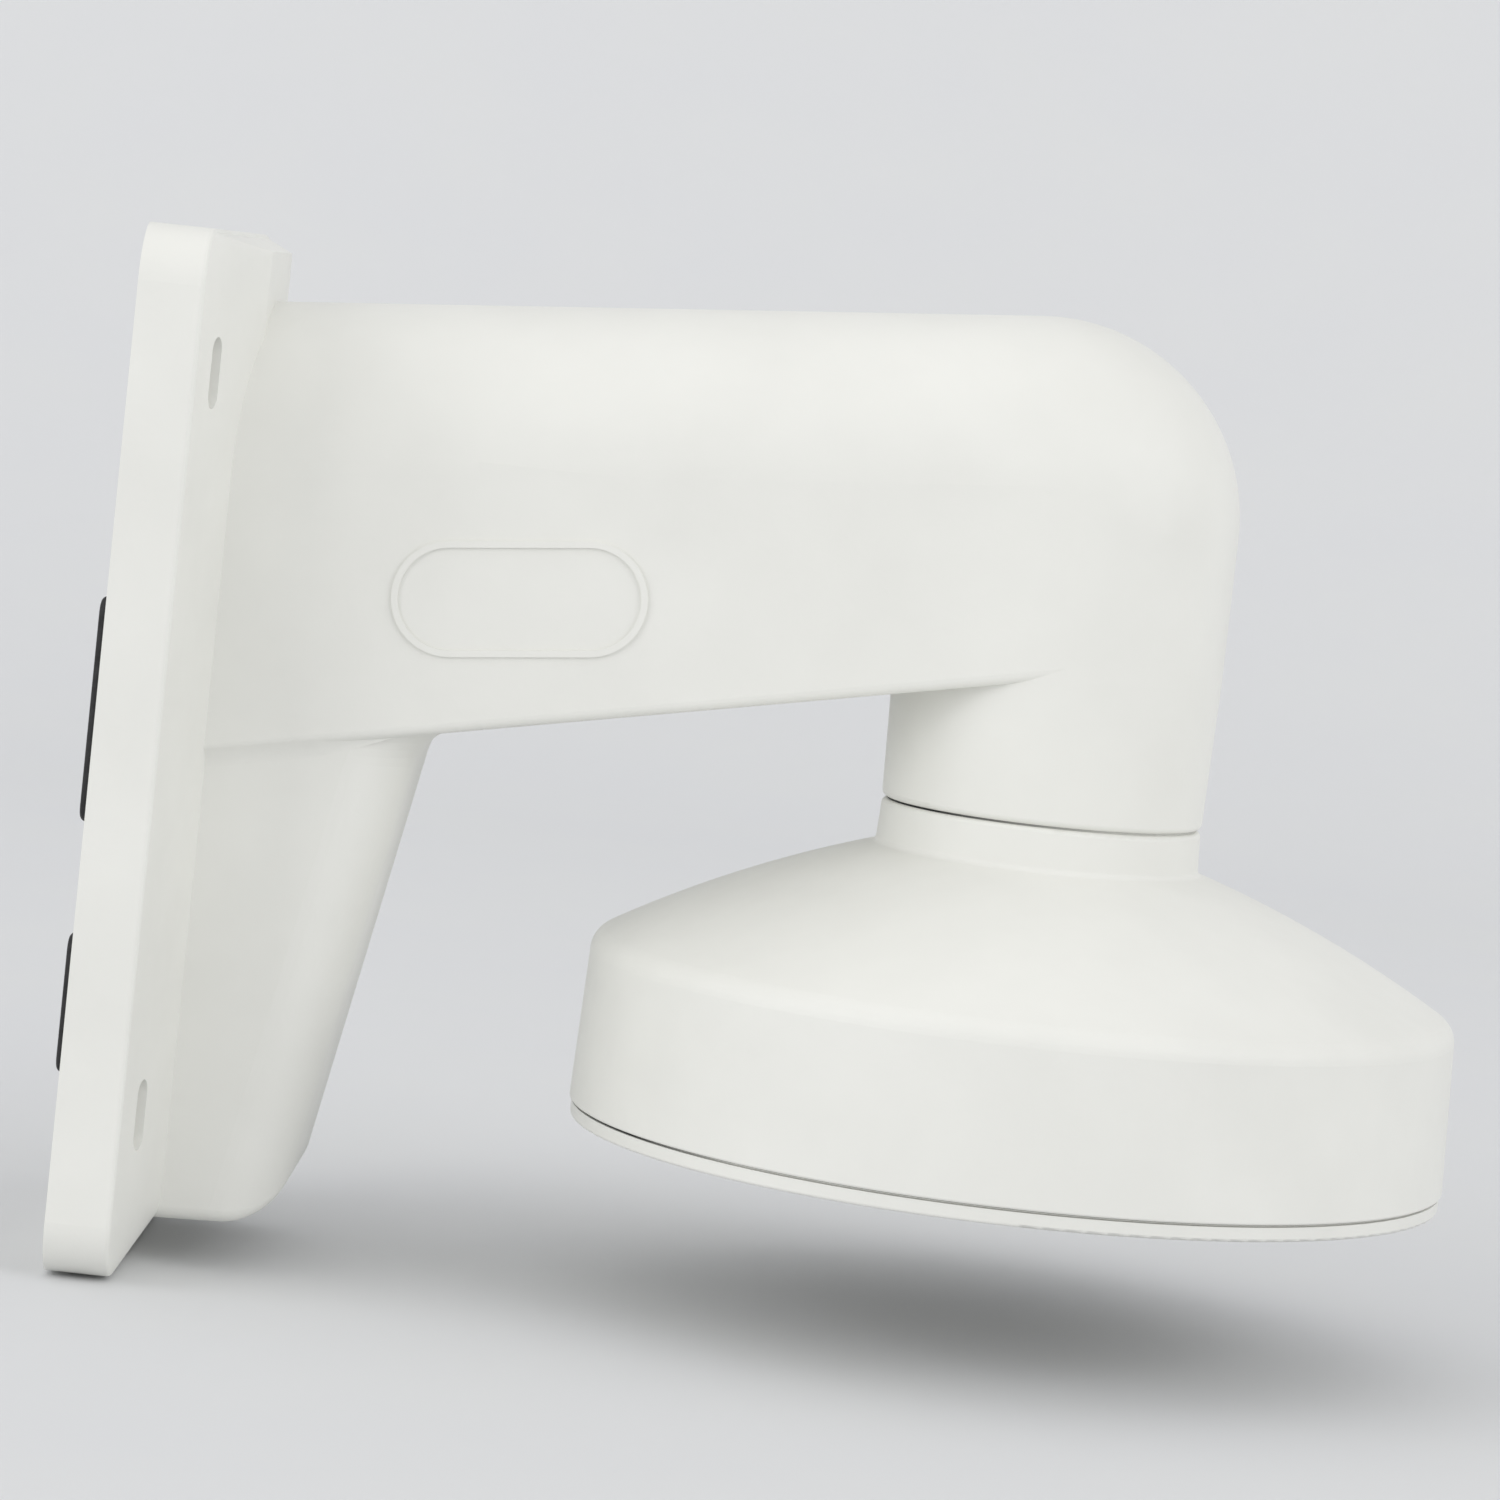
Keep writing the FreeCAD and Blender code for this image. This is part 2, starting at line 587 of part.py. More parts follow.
def mounting_cap():
    centre = arc_centre(CONE_HIGH, CONE_LOW, CONE_R)
    foot, middle, edge = cap_skin(centre, CONE_R, 0)
    in_foot, in_middle, in_edge = cap_skin(centre, CONE_R - CAP_WALL, CAP_WALL)
    well_top = CAP_TOP_Z - CAP_FLOOR
    profile = [
        Part.makeLine(spot((CAP_BORE, CAP_TOP_Z)), spot((COLLAR_TOP_R, CAP_TOP_Z))),
        Part.makeLine(spot((COLLAR_TOP_R, CAP_TOP_Z)), spot(foot)),
        Part.Arc(spot(foot), spot(middle), spot(edge)).toShape(),
        Part.makeLine(spot(edge), spot((CAP_R, CAP_FOOT_Z))),
        Part.makeLine(spot((CAP_R, CAP_FOOT_Z)), spot((CAP_R - CAP_WALL, CAP_FOOT_Z))),
        Part.makeLine(spot((CAP_R - CAP_WALL, CAP_FOOT_Z)), spot(in_edge)),
        Part.Arc(spot(in_edge), spot(in_middle), spot(in_foot)).toShape(),
        Part.makeLine(spot(in_foot), spot((CAP_WELL, in_foot[1]))),
        Part.makeLine(spot((CAP_WELL, in_foot[1])), spot((CAP_WELL, well_top))),
        Part.makeLine(spot((CAP_WELL, well_top)), spot((CAP_BORE, well_top))),
        Part.makeLine(spot((CAP_BORE, well_top)), spot((CAP_BORE, CAP_TOP_Z))),
    ]
    cap = Part.Face(Part.Wire(profile)).revolve(V(NECK_AXIS, 0, 0), UP, 360)
    cap = cap.makeFillet(SHOULDER, ring_edges(cap, NECK_AXIS, edge[0], edge[1]))
    cap = cap.makeFillet(CAP_FOOT_ROUND, ring_edges(cap, NECK_AXIS, CAP_R, CAP_FOOT_Z))
    cap = cap.makeFillet(COLLAR_TOP_ROUND, ring_edges(cap, NECK_AXIS, COLLAR_TOP_R, CAP_TOP_Z))
    cap = cap.makeFillet(COLLAR_FOOT_ROUND, ring_edges(cap, NECK_AXIS, foot[0], foot[1]))
    cap = cap.makeFillet(SHOULDER / 2, ring_edges(cap, NECK_AXIS, in_edge[0], in_edge[1]))
    added = []
    holes = []
    for place in around_neck(NECK_SCREW_PITCH_R, well_top - 1, 60):
        holes.append(Part.makeCylinder(NECK_SCREW_R + CLEARANCE, 2 * CAP_FLOOR, place, UP))
    for place in around_neck(RING_SCREW_PITCH_R, RING_TOP_Z, 0):
        roof = arc_height(centre, CONE_R - CAP_WALL / 2, RING_SCREW_PITCH_R + RING_BOSS_R)
        added.append(Part.makeCylinder(RING_BOSS_R, roof - RING_TOP_Z, place, UP))
        holes.append(Part.makeCylinder(RING_SCREW_R, RING_SCREW_L + 2, place, UP))
    for step in range(3):
        reach = CAP_R - CAP_WALL / 2 - RING_SCREW_PITCH_R
        corner = V(RING_SCREW_PITCH_R, -CAP_WALL / 2, RING_TOP_Z + CAP_WALL)
        rib = Part.makeBox(reach, CAP_WALL, CONE_LOW[1] - CAP_WALL - corner.z, corner)
        rib.rotate(V(0, 0, 0), UP, 120 * step)
        rib.translate(V(NECK_AXIS, 0, 0))
        added.append(rib)
    eye = V(NECK_AXIS - EYE_PITCH_R, 0, EYE_BOSS_FOOT)
    roof = arc_height(centre, CONE_R - CAP_WALL / 2, EYE_PITCH_R + EYE_BOSS_R)
    added.append(Part.makeCylinder(EYE_BOSS_R, roof - EYE_BOSS_FOOT, eye, UP))
    holes.append(Part.makeCylinder(EYE_STUD_R, EYE_STUD_L, eye, UP))
    return cap.fuse(added).removeSplitter().cut(holes)


# Pan-head screws up through the cap's floor into the neck, each on a plain washer.
def neck_screws():
    screws = []
    seat = CAP_TOP_Z - CAP_FLOOR - WASHER_T
    for place in around_neck(NECK_SCREW_PITCH_R, seat, 60):
        shank = Part.makeCylinder(NECK_SCREW_R, NECK_SCREW_L, place, UP)
        head = Part.makeCylinder(NECK_SCREW_HEAD, NECK_SCREW_HEAD_T, place - UP * NECK_SCREW_HEAD_T, UP)
        low = seat - NECK_SCREW_HEAD_T / 2
        head = head.makeFillet(1.2, edges_where(head, lambda edge: edge.BoundBox.ZMax < low))
        socket = Part.makeCylinder(1.5, 1.6, place - UP * (NECK_SCREW_HEAD_T + 0.01), UP)
        screws.append(shank.fuse(head).removeSplitter().cut(socket))
    return Part.makeCompound(screws)


def neck_washers():
    washers = []
    for place in around_neck(NECK_SCREW_PITCH_R, CAP_TOP_Z - CAP_FLOOR - WASHER_T, 60):
        disc = Part.makeCylinder(WASHER_R, WASHER_T, place, UP)
        washers.append(disc.cut(Part.makeCylinder(NECK_SCREW_R, WASHER_T, place, UP)))
    return Part.makeCompound(washers)


# Rubber seal between the cap's rim and the adapter ring.
def rim_seal():
    outer = RING_R - RING_SEAL_EDGE
    inner = CAP_R - CAP_WALL - RING_SEAL_EDGE
    return turned([(inner, RING_TOP_Z), (outer, RING_TOP_Z), (outer, CAP_FOOT_Z), (inner, CAP_FOOT_Z)])


# Adapter ring that closes the cap and carries the camera.
def adapter_ring():
    ring = turned([
        (RING_OPEN_R, RING_FOOT_Z),
        (RING_R, RING_FOOT_Z),
        (RING_R, RING_TOP_Z),
        (RING_OPEN_R + RING_LIP, RING_TOP_Z),
        (RING_OPEN_R + RING_LIP, RING_TOP_Z + RING_LIP_H),
        (RING_OPEN_R, RING_TOP_Z + RING_LIP_H),
    ])
    ring = ring.makeFillet(0.5, ring_edges(ring, NECK_AXIS, RING_R, RING_FOOT_Z))
    bosses = []
    holes = []
    for place in around_neck(CAMERA_PITCH_R, RING_FOOT_Z, 60):
        bosses.append(Part.makeCylinder(CAMERA_BOSS_R, RING_T + CAMERA_BOSS_H, place, UP))
        holes.append(Part.makeCylinder(CAMERA_HOLE_R, CAMERA_BOSS_H + RING_T + 2, place - UP, UP))
    for place in around_neck(RING_SCREW_PITCH_R, RING_FOOT_Z, 0):
        holes.append(screw_shape(place, UP, RING_SCREW_R + 0.1, RING_SCREW_HEAD + 0.1, 0, 10))
    return ring.fuse(bosses).removeSplitter().cut(holes)


def ring_screws():
    screws = []
    for place in around_neck(RING_SCREW_PITCH_R, RING_FOOT_Z, 0):
        screw = screw_shape(place, UP, RING_SCREW_R, RING_SCREW_HEAD, 0, RING_SCREW_L)
        screws.append(screw.cut(Part.makeCylinder(1.3, 1.3, place - UP * 0.01, UP)))
    return Part.makeCompound(screws)


# Eye screw: stud, collar and closed ring of wire.
def tether_eye():
    seat = V(NECK_AXIS - EYE_PITCH_R, 0, EYE_BOSS_FOOT)
    stud = Part.makeCylinder(EYE_STUD_R, EYE_STUD_L, seat, UP)
    collar = Part.makeCylinder(EYE_COLLAR_R, EYE_COLLAR_T, seat - UP * EYE_COLLAR_T, UP)
    drop = EYE_COLLAR_T + EYE_RING_R + EYE_WIRE_R - 0.5
    ring = Part.makeTorus(EYE_RING_R, EYE_WIRE_R, seat - UP * drop, ACROSS)
    return collar.fuse([stud, ring]).removeSplitter()


PIECES = {
    "bracket_body": bracket_body,
    "rear_cover": rear_cover,
    "rear_seal": rear_seal,
    "rear_cover_screws": rear_cover_screws,
    "cable_grommet": cable_grommet,
    "blanking_plug": blanking_plug,
    "neck_gasket": neck_gasket,
    "mounting_cap": mounting_cap,
    "neck_screws": neck_screws,
    "neck_washers": neck_washers,
    "rim_seal": rim_seal,
    "adapter_ring": adapter_ring,
    "ring_screws": ring_screws,
    "tether_eye": tether_eye,
}

os.makedirs("parts", exist_ok=True)
for name, make in PIECES.items():
    shape = make()
    box = shape.BoundBox
    size = [round(v, 1) for v in (box.XLength, box.YLength, box.ZLength)]
    print(name, shape.isValid(), len(shape.Solids), round(shape.Volume), size)
    shape.exportStep("parts/" + name + ".step")
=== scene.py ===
# %% [markdown]
# A wall bracket for a small dome camera is two white castings and a handful of small parts: a hollow
# arm cast in one with its wall plate, and a round cap that closes the arm's neck and carries the camera.
# The model comes in already measured, so this lesson is about finish: paint, rubber, steel and light.
# Everything is in metres. X runs out from the wall, Y across it and Z up.

import bpy
import math
from mathutils import Matrix, Vector


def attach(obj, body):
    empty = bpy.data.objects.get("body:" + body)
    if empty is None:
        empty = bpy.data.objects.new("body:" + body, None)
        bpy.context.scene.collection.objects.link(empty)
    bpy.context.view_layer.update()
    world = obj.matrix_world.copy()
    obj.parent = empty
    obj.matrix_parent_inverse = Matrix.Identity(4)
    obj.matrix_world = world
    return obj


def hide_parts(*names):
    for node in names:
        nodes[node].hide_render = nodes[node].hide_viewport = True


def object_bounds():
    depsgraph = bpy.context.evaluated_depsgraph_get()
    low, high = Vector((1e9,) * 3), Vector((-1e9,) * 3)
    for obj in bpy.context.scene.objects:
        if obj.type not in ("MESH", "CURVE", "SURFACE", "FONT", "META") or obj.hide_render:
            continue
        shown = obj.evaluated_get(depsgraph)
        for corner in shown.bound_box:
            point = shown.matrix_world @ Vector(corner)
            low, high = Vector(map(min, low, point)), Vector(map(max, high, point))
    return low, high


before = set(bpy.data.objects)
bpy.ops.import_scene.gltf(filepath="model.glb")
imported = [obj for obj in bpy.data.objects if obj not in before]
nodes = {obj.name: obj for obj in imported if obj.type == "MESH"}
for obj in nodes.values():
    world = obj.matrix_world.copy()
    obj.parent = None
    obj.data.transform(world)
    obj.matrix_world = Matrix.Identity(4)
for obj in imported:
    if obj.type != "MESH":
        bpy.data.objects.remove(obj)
cad_low, cad_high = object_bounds()
MM = 0.001
print("loaded", len(nodes), "nodes", [round(v / MM, 1) for v in cad_high - cad_low])


# %% [markdown]
# Every finish here is built from noise in a few sizes, so the first helpers make a material, put noise
# on the object's own coordinates, and turn it into a range, a colour or a relief. Object coordinates
# are in metres, so a noise scale of 1000 gives lumps about a millimetre wide. An image texture would
# need unwrapping and would blur close up, while noise stays sharp and fits any shape.

# %% Helpers for colours and noise
NOISE_MIDDLE = (0.3, 0.7)


def srgb(red, green, blue):
    """A colour as read from a picture, 0 to 255, as the linear colour that Blender mixes."""
    levels = []
    for value in (red, green, blue):
        value = value / 255
        levels.append(value / 12.92 if value <= 0.04045 else ((value + 0.055) / 1.055) ** 2.4)
    return (*levels, 1.0)


def start_material(name):
    """A new material, its node tree and its shader."""
    material = bpy.data.materials.new(name)
    material.use_nodes = True
    tree = material.node_tree
    return material, tree, tree.nodes["Principled BSDF"]


def noise(tree, size, detail=3.0, squeeze=(1.0, 1.0, 1.0)):
    """Noise with lumps of about the given size, in metres, made narrower along each axis by a squeeze."""
    place = tree.nodes.new("ShaderNodeTexCoord")
    scaling = tree.nodes.new("ShaderNodeMapping")
    scaling.inputs["Scale"].default_value = squeeze
    cloud = tree.nodes.new("ShaderNodeTexNoise")
    cloud.inputs["Scale"].default_value = 1.0 / size
    cloud.inputs["Detail"].default_value = detail
    tree.links.new(place.outputs["Object"], scaling.inputs["Vector"])
    tree.links.new(scaling.outputs["Vector"], cloud.inputs["Vector"])
    return cloud.outputs["Fac"]


def spread(tree, value, low, high, source=NOISE_MIDDLE):
    """Stretches a value over low to high. Noise stays near its middle, so that is the usual source."""
    node = tree.nodes.new("ShaderNodeMapRange")
    node.inputs["From Min"].default_value, node.inputs["From Max"].default_value = source
    node.inputs["To Min"].default_value = low
    node.inputs["To Max"].default_value = high
    tree.links.new(value, node.inputs["Value"])
    return node.outputs["Result"]


def blend_colours(tree, value, first, second):
    """Mixes two colours by a value. The first may also be what another node gives."""
    node = tree.nodes.new("ShaderNodeMix")
    node.data_type = "RGBA"
    if isinstance(first, bpy.types.NodeSocket):
        tree.links.new(first, node.inputs["A"])
    else:
        node.inputs["A"].default_value = first
    node.inputs["B"].default_value = second
    tree.links.new(value, node.inputs["Factor"])
    return node.outputs["Result"]


def bump(tree, height, depth, below=None):
    """Turns a height from 0 to 1 into relief of the given depth, in metres, over what lies below it."""
    node = tree.nodes.new("ShaderNodeBump")
    node.inputs["Strength"].default_value = 1.0
    node.inputs["Distance"].default_value = depth
    tree.links.new(height, node.inputs["Height"])
    if below is not None:
        tree.links.new(below, node.inputs["Normal"])
    return node.outputs["Normal"]


print("helpers ready")


# %% [markdown]
# Powder coat is sprayed on dry and melted in an oven. It flows almost flat, but keeps a faint skin like
# orange peel about a millimetre across, with finer grain on top. A plain white with one roughness would
# look like plastic, and a deep bump like plaster. Two shallow noises make the skin, a third makes the
# sheen a little uneven, and a slow one tints the white. The cap's coat is a shade duller than the rest.

# %% White powder coat
COAT_LIGHT = srgb(236, 236, 231)
COAT_DARK = srgb(231, 231, 226)
TINT_SIZE = 24 * MM
SHEEN_SIZE = 3 * MM
COAT_ROUGHNESS = (0.40, 0.48)
CAP_DULLER = 0.06
PEEL_SIZE = 1.1 * MM
PEEL_DEPTH = 0.010 * MM
GRAIN_SIZE = 0.28 * MM
GRAIN_SHARE = 0.3


def powder_coat(name, duller=0.0):
    """Satin white paint. What is given as duller is added to its roughness."""
    material, tree, shader = start_material(name)
    tint = spread(tree, noise(tree, TINT_SIZE), 0.0, 1.0)
    tree.links.new(blend_colours(tree, tint, COAT_LIGHT, COAT_DARK), shader.inputs["Base Color"])
    low, high = COAT_ROUGHNESS
    sheen = spread(tree, noise(tree, SHEEN_SIZE), low + duller, high + duller)
    tree.links.new(sheen, shader.inputs["Roughness"])
    peel = bump(tree, noise(tree, PEEL_SIZE, 1.0), PEEL_DEPTH)
    grain = bump(tree, noise(tree, GRAIN_SIZE, 2.0), PEEL_DEPTH * GRAIN_SHARE, peel)
    tree.links.new(grain, shader.inputs["Normal"])
    return material


coats = {
    "bracket_body": powder_coat("bracket_coat"),
    "mounting_cap": powder_coat("cap_coat", CAP_DULLER),
    "adapter_ring": powder_coat("ring_coat"),
    "rear_cover": powder_coat("cover_coat"),
}
print("coats", sorted(coats))


# %% [markdown]
# The seals and the two inserts behind the plate are moulded rubber. Fresh rubber is never quite black:
# it is a dark grey with a dull, slightly dusty skin. Pure black would look like a hole. A broad soft
# highlight says rubber more than any colour does, so the roughness is high and its noise is what gives
# the dusty look. The two thin seals of the cap carry painted light: their colour fades along X from
# the black rubber on the wall's side to a pale tone further out, painted where their seam line is lit.

# %% Black rubber
RUBBER_DARK = srgb(26, 26, 27)
RUBBER_DUSTY = srgb(40, 40, 41)
DUST_SIZE = 2.5 * MM
RUBBER_SHEEN_SIZE = 1.2 * MM
RUBBER_ROUGHNESS = (0.55, 0.75)
RUBBER_SPECULAR = 0.4
RUBBER_GRAIN_SIZE = 0.35 * MM
RUBBER_GRAIN_DEPTH = 0.012 * MM
# Painted light: the pale tone that the two cap seals fade to away from the wall.
SEAL_PAINTED_LIGHT = srgb(205, 205, 200)
NECK_SEAL_LIGHT_FADE = (124 * MM, 150 * MM)
RIM_SEAL_LIGHT_FADE = (84 * MM, 100 * MM)


def moulded_rubber(name, painted_light_span=None):
    """Black rubber. With a span along X, in metres, it turns pale from the span's start to its end,
    as painted light where the seam is lit.
    """
    material, tree, shader = start_material(name)
    dust = spread(tree, noise(tree, DUST_SIZE, 4.0), 0.0, 1.0)
    colour = blend_colours(tree, dust, RUBBER_DARK, RUBBER_DUSTY)
    # The fade to pale along X is painted light on the seal.
    if painted_light_span:
        place = tree.nodes.new("ShaderNodeTexCoord")
        split = tree.nodes.new("ShaderNodeSeparateXYZ")
        tree.links.new(place.outputs["Object"], split.inputs["Vector"])
        along = spread(tree, split.outputs["X"], 0.0, 1.0, painted_light_span)
        colour = blend_colours(tree, along, colour, SEAL_PAINTED_LIGHT)
    tree.links.new(colour, shader.inputs["Base Color"])
    sheen = spread(tree, noise(tree, RUBBER_SHEEN_SIZE), *RUBBER_ROUGHNESS)
    tree.links.new(sheen, shader.inputs["Roughness"])
    shader.inputs["Specular IOR Level"].default_value = RUBBER_SPECULAR
    grain = bump(tree, noise(tree, RUBBER_GRAIN_SIZE, 2.0), RUBBER_GRAIN_DEPTH)
    tree.links.new(grain, shader.inputs["Normal"])
    return material


rubber = moulded_rubber("black_rubber")
# These two seals fade along X from black rubber to a painted light.
neck_seal_rubber_painted_light = moulded_rubber("neck_seal_rubber_painted_light", NECK_SEAL_LIGHT_FADE)
rim_seal_rubber_painted_light = moulded_rubber("rim_seal_rubber_painted_light", RIM_SEAL_LIGHT_FADE)
print("rubber ready")


# %% [markdown]
# The screws, washers and eye are stainless steel, rolled or turned and then tumbled. Metal has almost
# no colour of its own, so the look is all in the roughness. Even noise would look like cast metal, so
# this one is drawn out into fine streaks that run one way, as rolling and turning leave them.

# %% Stainless steel
STEEL = srgb(196, 195, 192)
STEEL_DARK = srgb(168, 167, 165)
STAIN_SIZE = 1.5 * MM
STREAK_SIZE = 0.6 * MM
STREAK_SQUEEZE = (1.0, 1.0, 8.0)
STREAK_DEPTH = 0.004 * MM
STEEL_ROUGHNESS = (0.22, 0.42)


def tumbled_steel(name):
    """Stainless steel. Its fine streaks lie level, because the noise is squeezed along Z."""
    material, tree, shader = start_material(name)
    shader.inputs["Metallic"].default_value = 1.0
    stain = spread(tree, noise(tree, STAIN_SIZE), 0.0, 1.0)
    tree.links.new(blend_colours(tree, stain, STEEL, STEEL_DARK), shader.inputs["Base Color"])
    streaks = noise(tree, STREAK_SIZE, 4.0, STREAK_SQUEEZE)
    tree.links.new(spread(tree, streaks, *STEEL_ROUGHNESS), shader.inputs["Roughness"])
    tree.links.new(bump(tree, streaks, STREAK_DEPTH), shader.inputs["Normal"])
    return material


steel = tumbled_steel("stainless_steel")
print("steel ready")


# %% [markdown]
# The loaded pieces keep their shapes and only change clothes: each takes the finish of what it is.
# Pieces could be dressed one by one, but a table from name to finish shows at a glance which is which.

# %% Dress the measured pieces
RUBBER_PIECES = ("cable_grommet", "blanking_plug", "rear_seal")

finishes = dict(coats)
for name in nodes:
    if name in RUBBER_PIECES:
        finishes[name] = rubber
    elif name not in coats:
        finishes[name] = steel
# The two seals wear the rubber that fades to painted light along X.
finishes["neck_gasket"] = neck_seal_rubber_painted_light
finishes["rim_seal"] = rim_seal_rubber_painted_light

for name, node in nodes.items():
    node.data.materials.clear()
    node.data.materials.append(finishes[name])
print("dressed", {name: finishes[name].name for name in sorted(nodes)})


# %% [markdown]
# Several new pieces are turned: the same half outline all the way round an axis. A stack of cylinders
# would leave walls inside, and a screw modifier needs the same outline anyway, so the outline is spun
# in edit mode, which gives one clean closed skin once its doubled points are merged.

# %% Helpers for new pieces
SCREW_STEPS = 40
MERGE_WITHIN = 0.001 * MM


def place_mesh(name, points, edges, faces):
    """A new object that is active and alone selected, ready for edit mode."""
    bpy.ops.object.select_all(action="DESELECT")
    mesh = bpy.data.meshes.new(name)
    mesh.from_pydata(points, edges, faces)
    placed = bpy.data.objects.new(name, mesh)
    bpy.context.scene.collection.objects.link(placed)
    bpy.context.view_layer.objects.active = placed
    placed.select_set(True)
    return placed


def lathe(outline, steps=SCREW_STEPS):
    """A closed turned shape about Z, from (radius, place along Z) points in millimetres."""
    points = [(radius * MM, 0.0, z * MM) for radius, z in outline]
    edges = [(i, i + 1) for i in range(len(points) - 1)]
    turned = place_mesh("turned", points, edges, [])
    bpy.ops.object.mode_set(mode="EDIT")
    bpy.ops.mesh.select_all(action="SELECT")
    bpy.ops.mesh.spin(steps=steps, angle=2 * math.pi, center=(0, 0, 0), axis=(0, 0, 1))
    bpy.ops.mesh.select_all(action="SELECT")
    bpy.ops.mesh.remove_doubles(threshold=MERGE_WITHIN)
    bpy.ops.mesh.normals_make_consistent(inside=False)
    bpy.ops.object.mode_set(mode="OBJECT")
    return turned


def smooth_below(degrees):
    """Shades the selected piece smooth, apart from edges that bend more than this."""
    bpy.ops.object.shade_smooth_by_angle(angle=math.radians(degrees))


print("modelling helpers ready")


# %% [markdown]
# The measured screws end in plain round sockets. Seen from below or behind, a cross recess is what says
# screw. The recess could be painted on, but it has to hold its shadow from every side, so it is cut:
# four wings are drawn flat, pushed in and shrunk, and the result is taken from the screw's head.

# %% Cross recess
WING_SHARE = 0.22
RECESS_TAPER = 0.45
CUTTER_RISE = 0.2


def cross_cutter(reach, depth):
    """A cross that narrows as it goes in. It starts a little above the head, so the cut is clean."""
    wing = reach * WING_SHARE
    ring = [
        (wing, wing), (wing, reach), (-wing, reach), (-wing, wing), (-reach, wing), (-reach, -wing),
        (-wing, -wing), (-wing, -reach), (wing, -reach), (wing, -wing), (reach, -wing), (reach, wing),
    ]
    points = [(x * MM, y * MM, -CUTTER_RISE * MM) for x, y in ring]
    cross = place_mesh("cross", points, [], [tuple(range(len(ring)))])
    bpy.ops.object.mode_set(mode="EDIT")
    bpy.ops.mesh.select_all(action="SELECT")
    push = {"value": (0, 0, (depth + CUTTER_RISE) * MM)}
    bpy.ops.mesh.extrude_region_move(TRANSFORM_OT_translate=push)
    bpy.ops.transform.resize(value=(RECESS_TAPER, RECESS_TAPER, 1.0), center_override=(0, 0, 0))
    bpy.ops.mesh.select_all(action="SELECT")
    bpy.ops.mesh.normals_make_consistent(inside=False)
    bpy.ops.object.mode_set(mode="OBJECT")
    return cross


print("recess tapers to", RECESS_TAPER)


# %% [markdown]
# Screws come in sets: one is modelled and cut, then copied to each place with its own mesh. Instances
# would be lighter, but a finished piece has its place in its mesh. No fitter stops every screw at the
# same angle, so each copy is turned by a different amount before it is laid in its hole.

# %% Sets of screws
FIRST_TURN = 25
TURN_STEP = 47
SCREW_SMOOTH = 35


def recessed_screws(name, outline, reach, depth, places, direction):
    """One object that holds a recessed screw at each place, its shank along the direction."""
    turned = lathe(outline)
    cross = cross_cutter(reach, depth)
    cut = turned.modifiers.new("recess", "BOOLEAN")
    cut.operation = "DIFFERENCE"
    cut.solver = "EXACT"
    cut.object = cross
    bpy.context.view_layer.objects.active = turned
    bpy.ops.object.modifier_apply(modifier="recess")
    bpy.data.objects.remove(cross)
    facing = Vector((0, 0, 1)).rotation_difference(Vector(direction)).to_matrix().to_4x4()
    copies = []
    for index, place in enumerate(places):
        copy = turned.copy()
        copy.data = turned.data.copy()
        spun = Matrix.Rotation(math.radians(FIRST_TURN + TURN_STEP * index), 4, "Z")
        copy.data.transform(Matrix.Translation(Vector(place) * MM) @ facing @ spun)
        bpy.context.scene.collection.objects.link(copy)
        copies.append(copy)
    bpy.data.objects.remove(turned)
    bpy.ops.object.select_all(action="DESELECT")
    for copy in copies:
        copy.select_set(True)
    bpy.context.view_layer.objects.active = copies[0]
    bpy.ops.object.join()
    screws = bpy.context.object
    screws.name = name
    smooth_below(SCREW_SMOOTH)
    screws.data.materials.append(steel)
    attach(screws, "root")
    return screws


print("screws turn by", TURN_STEP, "degrees from one to the next")


# %% [markdown]
# Two kinds of head are used. A countersunk one ends flush, so nothing rubs on the wall or on the
# camera's base, and it holds the cover and the ring. Inside the cap there is room for a domed pan head
# on a washer. A cone and a dome need different points, so one outline comes from a formula and the
# other is drawn. Sizes are in millimetres, radius first, and are those of the measured screws.

# %% Outlines of the screws
HEAD_RIM = 0.15
TIP_BEVEL = 0.4
PAN_HEAD = [
    (0, 0), (2.3, 0.06), (3.1, 0.3), (3.65, 0.8), (3.9, 1.5), (3.9, 2.6),
    (2.0, 2.6), (2.0, 18.2), (1.6, 18.6), (0, 18.6),
]


def countersunk(head, shank, length):
    """Half the outline of a countersunk screw, from its flat face to its tip."""
    under_head = head - shank + HEAD_RIM
    return [
        (0, 0), (head - HEAD_RIM, 0), (head, HEAD_RIM), (shank, under_head),
        (shank, length - TIP_BEVEL), (shank - TIP_BEVEL, length), (0, length),
    ]


print("pan head of", len(PAN_HEAD), "points")


# %% [markdown]
# The cover's four screws sit in its corners. The neck's and the ring's three each stand on a circle
# about the neck's axis, so their places are worked out from a radius rather than written down. The new
# screws take the place of the measured ones, which are hidden but not deleted.

# %% Cover, neck and ring screws
NECK_AXIS = 140.6
COVER_SCREW_PLACES = [(0.2, 20.3, 61.5), (0.2, -20.3, 61.5), (0.2, 18.1, -65.1), (0.2, -18.1, -65.1)]
INTO_PLATE = (1, 0, 0)
UPWARDS = (0, 0, 1)


def around_neck(radius, z, first_angle):
    """Three places about the neck's axis."""
    angles = [math.radians(first_angle + 120 * i) for i in range(3)]
    return [(NECK_AXIS + radius * math.cos(a), radius * math.sin(a), z) for a in angles]


